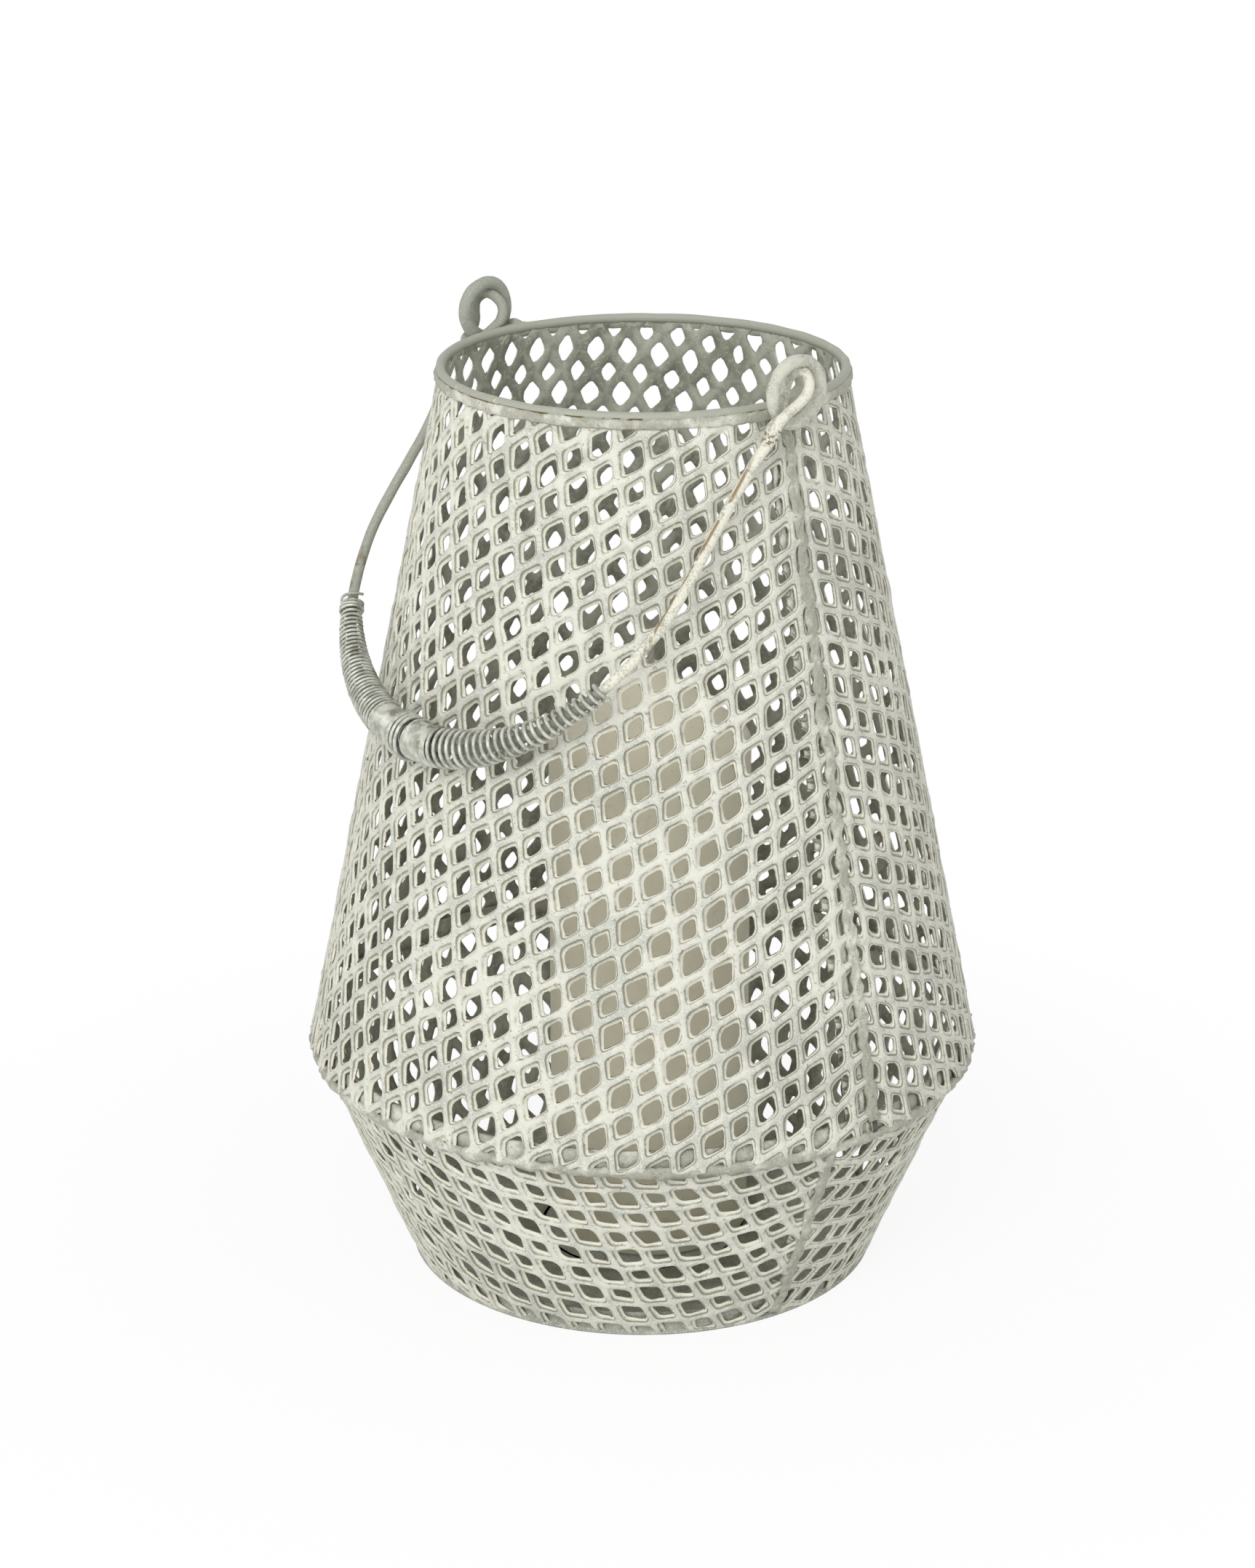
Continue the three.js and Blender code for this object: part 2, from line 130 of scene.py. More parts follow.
def pierced_cell(name, large):
    """One hole and the strands round it: each loop is an outline, a height, and how high it lies for
    the paint. The facet round the hole is wide towards the upper left and narrow, with a sharper and
    rustier edge, towards the lower right."""
    if large:
        border = crest(0.545)
        shoulder = rounded((0.005, 0.008), (0.475, 0.462), 0.2)
        groove = rounded((0.005, 0.008), (0.438, 0.423), 0.17)
        hole = rounded((0.045, -0.045), (0.345, 0.335), 0.17)
    else:
        border = crest(0.455)
        shoulder = rounded((-0.005, 0.003), (0.395, 0.388), 0.17)
        groove = rounded((-0.005, 0.003), (0.355, 0.348), 0.14)
        hole = rounded((0.032, -0.045), (0.262, 0.262), 0.14)
    corners = [(math.copysign(0.5, x), math.copysign(0.5, y)) for x, y in border]
    loops = [
        (border, 0.0, 1.0, 0.0),
        (shoulder, -0.16, 0.8, 0.0),
        (groove, -0.5, 0.5, 0.0),
        (hole, -0.85, 0.2, 0.0),
        (hole, -1.35, 0.1, 1.0),
        (corners, -0.8, 0.8, 1.0),
    ]
    cell = bmesh.new()
    spoke = cell.verts.layers.int.new("spoke")
    relief_of = cell.verts.layers.float.new("relief")
    inside_of = cell.verts.layers.float.new("inside")
    ring = bmesh.ops.create_circle(cell, segments=spokes, radius=0.5)["verts"]
    for corner in ring:
        corner[spoke] = round(math.degrees(math.atan2(corner.co.y, corner.co.x)) / 30) % spokes
    edges = cell.edges[:]
    for number, (outline, height, relief, inside) in enumerate(loops):
        if number:
            grown = bmesh.ops.extrude_edge_only(cell, edges=edges)["geom"]
            ring = [item for item in grown if isinstance(item, bmesh.types.BMVert)]
            edges = [item for item in grown if isinstance(item, bmesh.types.BMEdge)]
            edges = [edge for edge in edges if all(corner in ring for corner in edge.verts)]
        for corner in ring:
            x, y = outline[corner[spoke]]
            corner.co = (x, y, height)
            # The front of the hole's edge lies at 0.2, which the paint lightens as a painted highlight,
            # except on its lower right half, which lies at 0 and rusts.
            corner[relief_of] = relief - (0.2 if relief == 0.2 and x > y else 0)
            corner[inside_of] = inside
    bmesh.ops.recalc_face_normals(cell, faces=cell.faces)
    top = max(cell.faces, key=lambda face: face.calc_center_median().z)
    top.normal_update()
    if top.normal.z < 0:
        bmesh.ops.reverse_faces(cell, faces=cell.faces)
    put_in_order(cell)
    mesh = bpy.data.meshes.new(name)
    cell.to_mesh(mesh)
    cell.free()
    return mesh


def pierced_sheet(cells):
    """The flat pattern: the large or the small cell stamped at each of the given places."""
    stamps = [pierced_cell("large_cell", True), pierced_cell("small_cell", False)]
    sheet = bmesh.new()
    for column, row in cells:
        stamp = stamps[(column + row) % 2]
        stamp.transform(Matrix.Translation((column, row, 0)))
        sheet.from_mesh(stamp)
        stamp.transform(Matrix.Translation((-column, -row, 0)))
    for stamp in stamps:
        bpy.data.meshes.remove(stamp)
    bmesh.ops.remove_doubles(sheet, verts=sheet.verts, dist=0.002)
    return sheet


def turned_out_and_smooth(shape):
    """Closes what a cut left open, and turns every face outwards."""
    open_edges = [edge for edge in shape.edges if edge.is_boundary]
    bmesh.ops.holes_fill(shape, edges=open_edges, sides=0)
    bmesh.ops.recalc_face_normals(shape, faces=shape.faces)
    for face in shape.faces:
        face.smooth = True


def finished(name, shape):
    """Makes the mesh, whose sizes are millimetres until here, and the object that carries it."""
    bmesh.ops.scale(shape, verts=shape.verts, vec=(MM, MM, MM))
    mesh = bpy.data.meshes.new(name)
    shape.to_mesh(mesh)
    shape.free()
    return link(name, mesh)


def agreement(edges):
    """Above 0 where the faces on both sides of most of these edges are turned the same way."""
    total = 0
    for edge in edges:
        sides = edge.link_loops
        if len(sides) == 2:
            total += 1 if sides[0].vert != sides[1].vert else -1
    return total


def closed_and_smooth(sheet):
    """Closes what the cuts left open, with faces turned like their neighbours."""
    put_in_order(sheet)
    open_edges = [edge for edge in sheet.edges if edge.is_boundary]
    for face in bmesh.ops.holes_fill(sheet, edges=open_edges, sides=0)["faces"]:
        if agreement(face.edges) < 0:
            face.normal_flip()
    for face in sheet.faces:
        face.smooth = True


def trim(shape, place, away):
    """Cuts a shape with a plane, throws away what lies in the given direction and fills the cut with
    faces that are turned like their neighbours."""
    put_in_order(shape)
    geometry = shape.verts[:] + shape.edges[:] + shape.faces[:]
    cut = bmesh.ops.bisect_plane(shape, geom=geometry, plane_co=place, plane_no=away, clear_outer=True)
    edges = [item for item in cut["geom_cut"] if isinstance(item, bmesh.types.BMEdge) and item.is_boundary]
    edges.sort(key=lies_at)
    filled = bmesh.ops.triangle_fill(shape, edges=edges, use_beauty=True, normal=away)["geom"]
    caps = [item for item in filled if isinstance(item, bmesh.types.BMFace)]
    for face in caps:
        face.normal_update()
        if face.normal.dot(Vector(away)) < 0:
            face.normal_flip()
    if agreement(edges) < 0:
        bmesh.ops.reverse_faces(shape, faces=caps)


def trim_ends(sheet, from_angle, to_angle):
    """Cuts the flat sheet along two lines through its apex, which become the lap seam."""
    low, high = math.radians(from_angle), math.radians(to_angle)
    trim(sheet, (0, 0, 0), (math.cos(high), -math.sin(high), 0))
    trim(sheet, (0, 0, 0), (-math.cos(low), math.sin(low), 0))


unevenness = 0.26
ragged_at_holes = 2.4
ragged_elsewhere = 1.4
# Without a seed, noise_vector starts from the clock, and no two runs are alike.
noise.seed_set(3)


def worn(sheet, amount):
    """Small unevenness of a sheet pressed and painted by hand, most of it at the edges of the holes."""
    relief_of = sheet.verts.layers.float["relief"]
    for corner in sheet.verts:
        place = Vector((corner.co.x, corner.co.y, 0))
        ragged = ragged_at_holes if corner[relief_of] < 0.3 else ragged_elsewhere
        corner.co += ragged * amount * noise.noise_vector(place / 3.4)
        corner.co.z += 0.9 * amount * noise.noise(place / 9.0)


# The flat sheet is part of a disc round the cone's apex. Its slants are distances from the apex, and
# its angles are degrees round it. The pattern's steps are fitted to the photo.
upper_spread = 0.19767
upper_from, upper_to = -63.9, 8.35
upper_slants = (296.3, 504.3)
upper_top_level = 272.2
slant_to_level = 1.0201
upper_lean = math.radians(11.6)
upper_lap_from, upper_lap_over, upper_lap_drop = -62.3, 0.9, 2.0
upper_first, upper_column_step, upper_row_step = (13.64, 445.74), (7.733, -4.103), (-1.056, -8.615)


def on_grid(first, column_step, row_step, column, row):
    """The middle of one cell of a slanting pattern, on the flat sheet."""
    return [first[k] + column_step[k] * column + row_step[k] * row for k in (0, 1)]


def upper_flat(column, row):
    return on_grid(upper_first, upper_column_step, upper_row_step, column, row)


def upper_place(x, down, height):
    """From the flat sheet to the cone. The end that lies under the lap is pressed inwards."""
    slant, turn = math.hypot(x, down), math.atan2(x, down)
    level = upper_top_level - (slant - upper_slants[0]) / slant_to_level
    under_lap = min(1.0, max(0.0, (upper_lap_from - math.degrees(turn)) / upper_lap_over))
    height -= upper_lap_drop * under_lap
    widening = radius_at_shoulder - radius_at_rim
    radius = radius_at_rim + (rim_level - level) * widening / (rim_level - shoulder_level)
    radius += height * math.cos(upper_lean)
    level += height * math.sin(upper_lean)
    direction = math.radians(front_direction) + turn / upper_spread
    return radius * math.cos(direction), radius * math.sin(direction), level


cut_margin = 7


def cells_on(flat, from_angle, to_angle, near, far):
    """The cells whose middle lies on the sheet, with a margin that is cut off later."""
    cells = []
    for column in range(-80, 40):
        for row in range(-40, 80):
            x, y = flat(column, row)
            slant, turn = math.hypot(x, y), math.degrees(math.atan2(x, y))
            margin = math.degrees(cut_margin / slant)
            in_reach = near - cut_margin < slant < far + cut_margin
            if in_reach and from_angle - margin < turn < to_angle + margin:
                cells.append((column, row))
    return cells


def colour(code):
    """A colour as it looks, turned into the linear values that a shader takes."""
    shares = [int(code[place:place + 2], 16) / 255 for place in (0, 2, 4)]
    return [((share + 0.055) / 1.055) ** 2.4 if share > 0.04 else share / 12.92 for share in shares] + [1.0]


def add(tree, kind, settings=None, **sockets):
    """A shader node with its settings, and its sockets set or linked by name."""
    made = tree.nodes.new(kind)
    for name, value in (settings or {}).items():
        setattr(made, name, value)
    for name, value in sockets.items():
        socket = made.inputs[name.replace("_", " ")]
        if isinstance(value, bpy.types.NodeSocket):
            tree.links.new(value, socket)
        else:
            socket.default_value = value
    return made


def blended(tree, share, under, over):
    mix = tree.nodes.new("ShaderNodeMix")
    mix.data_type = "RGBA"
    for value, socket in ((share, mix.inputs[0]), (under, mix.inputs[6]), (over, mix.inputs[7])):
        if isinstance(value, bpy.types.NodeSocket):
            tree.links.new(value, socket)
        else:
            socket.default_value = value
    return mix.outputs[2]


def sum_of(tree, *parts):
    """Adds up values, each times its weight."""
    total = None
    for value, weight in parts:
        times = add(tree, "ShaderNodeMath", {"operation": "MULTIPLY_ADD"})
        tree.links.new(value, times.inputs[0])
        times.inputs[1].default_value = weight
        if total is None:
            times.inputs[2].default_value = 0
        else:
            tree.links.new(total, times.inputs[2])
        total = times.outputs[0]
    return total


def product(tree, first, second):
    times = add(tree, "ShaderNodeMath", {"operation": "MULTIPLY"})
    for value, socket in ((first, times.inputs[0]), (second, times.inputs[1])):
        if isinstance(value, bpy.types.NodeSocket):
            tree.links.new(value, socket)
        else:
            socket.default_value = value
    return times.outputs[0]


def step(tree, value, low, high):
    """A soft step: 0 below the first level, 1 above the second, or the other way round."""
    ramp = add(tree, "ShaderNodeMapRange", {"interpolation_type": "SMOOTHSTEP"})
    tree.links.new(value, ramp.inputs["Value"])
    ramp.inputs["From Min"].default_value = min(low, high)
    ramp.inputs["From Max"].default_value = max(low, high)
    if low > high:
        ramp.inputs["To Min"].default_value = 1
        ramp.inputs["To Max"].default_value = 0
    return ramp.outputs["Result"]


def within(tree, value, low, full_from, full_to, high):
    """A soft band: 1 between the two middle levels and 0 beyond the outer ones."""
    return product(tree, step(tree, value, low, full_from), step(tree, value, high, full_to))


def slope(tree, value, from_low, from_high, to_low, to_high):
    """A straight ramp from one range of values to another."""
    ramp = add(tree, "ShaderNodeMapRange")
    tree.links.new(value, ramp.inputs["Value"])
    levels = {"From Min": from_low, "From Max": from_high, "To Min": to_low, "To Max": to_high}
    for socket, level in levels.items():
        ramp.inputs[socket].default_value = level
    return ramp.outputs["Result"]


def grain(tree, vector, scale, detail=3.0, roughness=0.6):
    made = add(tree, "ShaderNodeTexNoise", Vector=vector, Scale=scale, Detail=detail, Roughness=roughness)
    return made.outputs["Fac"]


def group(name, inputs, outputs):
    tree = bpy.data.node_groups.new(name, "ShaderNodeTree")
    for socket, kind, value in inputs:
        made = tree.interface.new_socket(socket, in_out="INPUT", socket_type=kind)
        if value is not None:
            made.default_value = value
    for socket, kind in outputs:
        tree.interface.new_socket(socket, in_out="OUTPUT", socket_type=kind)
    return tree, tree.nodes.new("NodeGroupInput"), tree.nodes.new("NodeGroupOutput")


def brushed_paint():
    """Off-white paint, grainy with dust and dark specks, brushed over grey steel. It thins in patches.
    A darker line of dirt and painted shade runs along every crease, a painted highlight lies along
    the upper left edge of each hole, and rust along their sharpest edges. Relief is 1 on the crests,
    0.5 in a crease and 0 on the sharpest edge."""
    tree, given, result = group(
        "brushed paint",
        [
            ("Vector", "NodeSocketVector", None),
            ("Paint", "NodeSocketColor", colour("D6D6C9")),
            ("Bare", "NodeSocketColor", colour("B2B4AA")),
            ("Dirt", "NodeSocketColor", colour("78735A")),
            ("Relief", "NodeSocketFloat", 0.8),
            ("Thin", "NodeSocketFloat", 0.0),
            ("Rusting", "NodeSocketFloat", 0.5),
            ("Dusty", "NodeSocketFloat", 1.0),
        ],
        [("Colour", "NodeSocketColor"), ("Roughness", "NodeSocketFloat"), ("Height", "NodeSocketFloat")],
    )
    place, relief = given.outputs["Vector"], given.outputs["Relief"]
    patches = grain(tree, place, 38, 3)
    blotches = grain(tree, place, 230, 3)
    speckle = grain(tree, place, 1500, 2)
    thin, dusty, rusting = (given.outputs[name] for name in ("Thin", "Dusty", "Rusting"))
    thinness = sum_of(tree, (patches, 0.35), (blotches, 0.35), (speckle, 0.45), (thin, 0.3))
    bare = step(tree, thinness, 0.50, 0.68)
    tone = blended(tree, bare, given.outputs["Paint"], given.outputs["Bare"])
    dust = product(tree, step(tree, speckle, 0.54, 0.66), dusty)
    tone = blended(tree, product(tree, dust, 0.55), tone, colour("EBEADF"))
    specks = product(tree, step(tree, grain(tree, place, 800, 2), 0.63, 0.69), dusty)
    tone = blended(tree, product(tree, specks, 0.55), tone, colour("6F6B58"))
    uneven = sum_of(tree, (patches, 0.5), (blotches, 0.5))
    # Dirt and painted shade: a darker line along each crease, in patches.
    crease = product(tree, within(tree, relief, 0.34, 0.46, 0.54, 0.70), step(tree, uneven, 0.36, 0.54))
    tone = blended(tree, product(tree, crease, 0.85), tone, given.outputs["Dirt"])
    # Painted highlight: a lighter band on each hole's edge where relief is 0.2, that is on its upper left
    # half.
    painted_edge_highlight = within(tree, relief, 0.12, 0.2, 0.27, 0.36)
    tone = blended(tree, product(tree, painted_edge_highlight, 0.55), tone, colour("EFEBD6"))
    wide, narrow = grain(tree, place, 45, 2), grain(tree, place, 420, 3)
    spots = sum_of(tree, (wide, 0.5), (narrow, 0.5), (relief, -1.2), (rusting, 0.2))
    rust = product(tree, step(tree, spots, 0.61, 0.66), rusting)
    tone = blended(tree, rust, tone, colour("644B2A"))
    height = sum_of(tree, (bare, -0.4), (speckle, 0.8), (blotches, 0.5), (rust, 0.4))
    roughness = sum_of(tree, (bare, -0.1), (rust, 0.2), (speckle, 0.15))
    lift = add(tree, "ShaderNodeMath", {"operation": "ADD"})
    tree.links.new(roughness, lift.inputs[0])
    lift.inputs[1].default_value = 0.6
    tree.links.new(tone, result.inputs["Colour"])
    tree.links.new(lift.outputs[0], result.inputs["Roughness"])
    tree.links.new(height, result.inputs["Height"])
    return tree


paint = brushed_paint()


def new_material(name):
    made = bpy.data.materials.new(name)
    made.use_nodes = True
    shader = made.node_tree.nodes["Principled BSDF"]
    place = made.node_tree.nodes.new("ShaderNodeTexCoord").outputs["Object"]
    return made, made.node_tree, shader, place


def painted(name, relief=None, relief_level=0.8, bump=0.0002, **settings):
    """Brushed paint as a whole material. The relief comes from an attribute, or is one level."""
    made, tree, shader, place = new_material(name)
    coat = tree.nodes.new("ShaderNodeGroup")
    coat.node_tree = paint
    tree.links.new(place, coat.inputs["Vector"])
    coat.inputs["Relief"].default_value = relief_level
    if relief:
        heights = add(tree, "ShaderNodeAttribute", {"attribute_name": relief})
        tree.links.new(heights.outputs["Fac"], coat.inputs["Relief"])
    for socket, value in settings.items():
        coat.inputs[socket].default_value = value
    surface = add(tree, "ShaderNodeBump", Strength=0.6, Distance=bump, Height=coat.outputs["Height"])
    tree.links.new(coat.outputs["Colour"], shader.inputs["Base Color"])
    tree.links.new(coat.outputs["Roughness"], shader.inputs["Roughness"])
    tree.links.new(surface.outputs["Normal"], shader.inputs["Normal"])
    shader.inputs["Specular IOR Level"].default_value = 0.4
    return made


def opened(made):
    """What a further layer on a painted material needs: its nodes, its coat, the place, and x, y, z."""
    tree = made.node_tree
    coat = next(node for node in tree.nodes if node.type == "GROUP")
    place = coat.inputs["Vector"].links[0].from_socket
    parts = add(tree, "ShaderNodeSeparateXYZ", Vector=place)
    return tree, coat, place, [parts.outputs[axis] for axis in "XYZ"]


def covered(made, tone):
    """Puts the finished colour on the material."""
    made.node_tree.links.new(tone, made.node_tree.nodes["Principled BSDF"].inputs["Base Color"])
    return made


def leftwards(tree, x, y):
    """How far a place lies to the camera's left of the axis."""
    return sum_of(tree, (x, -0.75), (y, -0.66))


def whitewashed_sheet():
    """The sheet's paint: off-white outside, and inside a darker grey-green that is partly painted shade
    of the lantern's inside; rustier towards the left."""
    made = painted("whitewashed_sheet", relief="relief")
    tree, coat, place, (x, y, _) = opened(made)
    inside = add(tree, "ShaderNodeAttribute", {"attribute_name": "inside"}).outputs["Fac"]
    patches = step(tree, grain(tree, place, 60, 3), 0.42, 0.58)
    # Inside: grey-green paint, darkened further as painted shade of the lantern's inside, with lighter
    # flecks and dark pits.
    inner_paint_and_shade = blended(tree, patches, colour("B0B2A4"), colour("8C8E80"))
    flecks = step(tree, grain(tree, place, 700, 3), 0.53, 0.64)
    inner_paint_and_shade = blended(tree, product(tree, flecks, 0.6), inner_paint_and_shade, colour("CFCFC0"))
    pits = step(tree, grain(tree, place, 700, 2), 0.60, 0.68)
    inner_paint_and_shade = blended(tree, product(tree, pits, 0.5), inner_paint_and_shade, colour("5E6157"))
    rusting = slope(tree, leftwards(tree, x, y), -0.03, 0.06, 0.7, 1.15)
    tree.links.new(rusting, coat.inputs["Rusting"])
    return covered(made, blended(tree, step(tree, inside, 0.45, 0.75), coat.outputs["Colour"], inner_paint_and_shade))


sheet = pierced_sheet(cells_on(upper_flat, upper_from, upper_to, *upper_slants))
for corner in sheet.verts:
    corner.co.xy = upper_flat(corner.co.x, corner.co.y)
trim_ends(sheet, upper_from, upper_to)
worn(sheet, unevenness)
for corner in sheet.verts:
    corner.co = upper_place(*corner.co)
trim(sheet, (0, 0, 271.6), (0, 0, 1))
trim(sheet, (0, 0, shoulder_level - 0.6), (0, 0, -1))
closed_and_smooth(sheet)
upper_body = finished("pierced_upper_body", sheet)
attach(upper_body, "lantern")
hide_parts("upper_body")
whitewash = whitewashed_sheet()
upper_body.data.materials.append(whitewash)

# Lower bowl: a shorter cone of the same sheet, laid with its pattern turned a quarter round, with
# a plain band tucked up inside the shoulder and its own lap seam a little to the left.

bowl_spread = 0.39851
bowl_from, bowl_to = -130.9, 13.55
bowl_slants = (176.4, 251.0)
bowl_height = 68.3
bowl_lean = math.radians(22.7)
bowl_lap_from, bowl_lap_over, bowl_lap_drop = -129.9, 1.0, 1.8
bowl_first, bowl_column_step, bowl_row_step = (-10.617, 227.03), (-3.333, 8.205), (-8.821, -0.513)
radius_at_base = 70.0
bowl_top_radius = 98.06


def bowl_flat(column, row):
    return on_grid(bowl_first, bowl_column_step, bowl_row_step, column, row)


def bowl_place(x, up, height):
    slant, turn = math.hypot(x, up), math.atan2(x, up)
    level = (slant - bowl_slants[0]) / (bowl_slants[1] - bowl_slants[0]) * bowl_height
    under_lap = min(1.0, max(0.0, (bowl_lap_from - math.degrees(turn)) / bowl_lap_over))
    height -= bowl_lap_drop * under_lap
    radius = radius_at_base + (bowl_top_radius - radius_at_base) * level / shoulder_level
    radius += height * math.cos(bowl_lean)
    level -= height * math.sin(bowl_lean)
    direction = math.radians(front_direction) + turn / bowl_spread
    return radius * math.cos(direction), radius * math.sin(direction), level


sheet = pierced_sheet(cells_on(bowl_flat, bowl_from, bowl_to, *bowl_slants))
for corner in sheet.verts:
    corner.co.xy = bowl_flat(corner.co.x, corner.co.y)
trim_ends(sheet, bowl_from, bowl_to)
worn(sheet, unevenness)
for corner in sheet.verts:
    corner.co = bowl_place(*corner.co)
trim(sheet, (0, 0, shoulder_level + 0.4), (0, 0, 1))
trim(sheet, (0, 0, 0.05), (0, 0, -1))
closed_and_smooth(sheet)
bowl = finished("pierced_lower_bowl", sheet)
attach(bowl, "lantern")
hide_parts("lower_bowl")
bowl.data.materials.append(whitewash)

# Bowl's tucked band: the plain upper edge of the bowl, inside the shoulder, and the solder that
# fills the corner between the two cones.


def spin(shape, outline, steps):
    """Spins an outline once round the axis."""
    bmesh.ops.spin(
        shape, geom=outline, cent=(0, 0, 0), axis=(0, 0, 1), angle=math.tau, steps=steps, use_merge=True
    )


def ring_of(outline, steps):
    """A closed ring with the given cross-section, in radius and level, spun round the axis."""
    ring = bmesh.new()
    corners = [ring.verts.new((radius, 0, level)) for radius, level in outline]
    edges = [ring.edges.new((corners[k - 1], corners[k])) for k in range(len(corners))]
    spin(ring, corners + edges, steps)
    return ring


def knocked(shape, amount, size):
    """Dents and lumps of about the given size."""
    for corner in shape.verts:
        corner.co += amount * noise.noise_vector(corner.co / size)


def joined(*shapes):
    """Puts finished shapes that make one piece into one mesh."""
    whole = bmesh.new()
    for shape in shapes:
        turned_out_and_smooth(shape)
        mesh = bpy.data.meshes.new("part")
        shape.to_mesh(mesh)
        shape.free()
        whole.from_mesh(mesh)
        bpy.data.meshes.remove(mesh)
    return whole


band = ring_of([(98.0, 66.0), (97.1, 72.0), (95.9, 72.0), (96.6, 65.2)], 96)
corner_solder = ring_of(
    [(99.2, 67.8), (100.0, 66.9), (99.8, 65.8), (98.5, 64.5), (97.2, 65.2), (97.4, 67.2)], 400
)
knocked(corner_solder, 1.0, 2.8)
knocked(corner_solder, 0.45, 1.2)
shoulder_joint = finished("shoulder_joint", joined(band, corner_solder))
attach(shoulder_joint, "lantern")
solder_paint = painted("painted_solder", relief_level=0.62, bump=0.0004, Thin=0.1)
shoulder_joint.data.materials.append(solder_paint)

# Base plate: a pressed steel dish. Its upright flange stands behind the lowest row of holes, and its
# rolled edge is the foot that the lantern stands on.

dish = ring_of([
    (30.0, 1.2), (65.8, 1.2), (67.4, 1.7), (68.0, 2.9), (69.4, 7.4), (70.1, 7.2), (68.9, 2.8),
    (69.0, 1.3), (70.2, 0.9), (70.2, 0.1), (69.6, 0.0), (30.0, 0.0),
], 144)
floor_disc = bmesh.new()
bmesh.ops.create_cone(floor_disc, cap_ends=True, segments=96, radius1=31, radius2=31, depth=1.2)
bmesh.ops.translate(floor_disc, verts=floor_disc.verts, vec=(0, 0, 0.6))
base = finished("base_dish", joined(dish, floor_disc))
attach(base, "lantern")
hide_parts("base_plate")
base_paint = painted(
    "base_steel", relief_level=0.8, Paint=colour("C2C3B6"), Bare=colour("94968A"), Thin=0.2
)
base.data.materials.append(base_paint)

# Rim wire: a round wire brazed on the edge of the mouth. Its top is dull grey with cream patches, and
# along its outer lower edge, most on the left, the paint is gone and rust shows.

rim_radius, rim_middle, rim_half_thickness = 57.5, 272.0, 1.35
rim_tube = []
for turn in range(0, 360, 30):
    out, up = math.cos(math.radians(turn)), math.sin(math.radians(turn))
    rim_tube.append((rim_radius + rim_half_thickness * out, rim_middle + rim_half_thickness * up))
rim_shape = ring_of(rim_tube, 240)
knocked(rim_shape, 0.15, 7.0)
rim = finished("rim_wire", joined(rim_shape))
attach(rim, "lantern")
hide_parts("rim_wire")


def rusty_edge():
    """Worn paint on the rim, with a broken line of rust low on the outside."""
    made = painted(
        "rim_paint", relief_level=0.5, bump=0.0002, Paint=colour("D0CDB6"), Bare=colour("9EA194"),
        Thin=0.45, Dirt=colour("A3A698"), Dusty=0.25
    )
    tree, coat, place, (x, y, z) = opened(made)
    flat = add(tree, "ShaderNodeVectorMath", {"operation": "MULTIPLY"})
    tree.links.new(place, flat.inputs[0])
    flat.inputs[1].default_value = (1, 1, 0)
    across = add(tree, "ShaderNodeVectorMath", {"operation": "LENGTH"})
    tree.links.new(flat.outputs["Vector"], across.inputs[0])
    low = step(tree, z, 0.2721, 0.2717)
    outside = step(tree, across.outputs["Value"], 0.0576, 0.0581)
    left = step(tree, leftwards(tree, x, y), -0.02, 0.045)
    worn_off = step(tree, sum_of(tree, (grain(tree, place, 180, 4), 1.0), (left, 0.2)), 0.55, 0.60)
    line = product(tree, product(tree, low, outside), worn_off)
    return covered(made, blended(tree, line, coat.outputs["Colour"], colour("5E4624")))


rim.data.materials.append(rusty_edge())

# Mouth's braze: a low ragged band of braze under the rim wire, painted over like the sheet, which
# fills the upper ends of the first holes.

mouth_band = ring_of(
    [(57.4, 271.6), (58.8, 271.6), (59.3, 270.7), (59.3, 269.2), (58.7, 268.6), (57.6, 269.4)], 320
)
knocked(mouth_band, 0.5, 2.4)
mouth_braze = finished("mouth_braze", joined(mouth_band))
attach(mouth_braze, "lantern")
mouth_braze.data.materials.append(solder_paint)

# Ears: two closed rings of thicker wire. Each stands square to the bail's pivot line and is brazed
# to the rim by a flared foot at its back and a smear of braze below. The left one is a little smaller.

pivot = Vector((0, -3.4, 277.2))
ear_offset = 65.1


def wire(points, thickness, sides=12, bent_smooth=True, closed=False):
    """A round wire along the given points, as a closed shape. Each point may carry its own share of
    the thickness."""
    curve = bpy.data.curves.new("bent_wire", "CURVE")
    curve.dimensions = "3D"
    curve.bevel_depth = thickness / 2
    curve.bevel_resolution = (sides - 4) // 2
    curve.use_fill_caps = True
    curve.resolution_u = 6
    spline = curve.splines.new("BEZIER" if bent_smooth else "POLY")
    spline.use_cyclic_u = closed
    knots = spline.bezier_points if bent_smooth else spline.points
    knots.add(len(points) - 1)
    for knot, point in zip(knots, points):
        if bent_smooth:
            knot.co = point[:3]
            knot.handle_left_type = knot.handle_right_type = "AUTO"
        else:
            knot.co = (*point[:3], 1)
        if len(point) > 3:
            knot.radius = point[3]
    holder = bpy.data.objects.new("bent_wire", curve)
    mesh = bpy.data.meshes.new_from_object(holder)
    shape = bmesh.new()
    shape.from_mesh(mesh)
    bmesh.ops.remove_doubles(shape, verts=shape.verts, dist=0.0001)
    bpy.data.meshes.remove(mesh)
    bpy.data.curves.remove(curve)
    return shape


def lump(centre, half_sizes, tilt, amount):
    """A blob of braze: a ball, squeezed, tilted about the pivot line and made uneven."""
    blob = bmesh.new()
    bmesh.ops.create_icosphere(blob, subdivisions=4, radius=1)
    bmesh.ops.scale(blob, verts=blob.verts, vec=half_sizes)
    tilted = Matrix.Rotation(math.radians(tilt), 3, "X")
    bmesh.ops.rotate(blob, verts=blob.verts, cent=(0, 0, 0), matrix=tilted)
    bmesh.ops.translate(blob, verts=blob.verts, vec=centre)
    knocked(blob, amount, 3.0)
    return blob


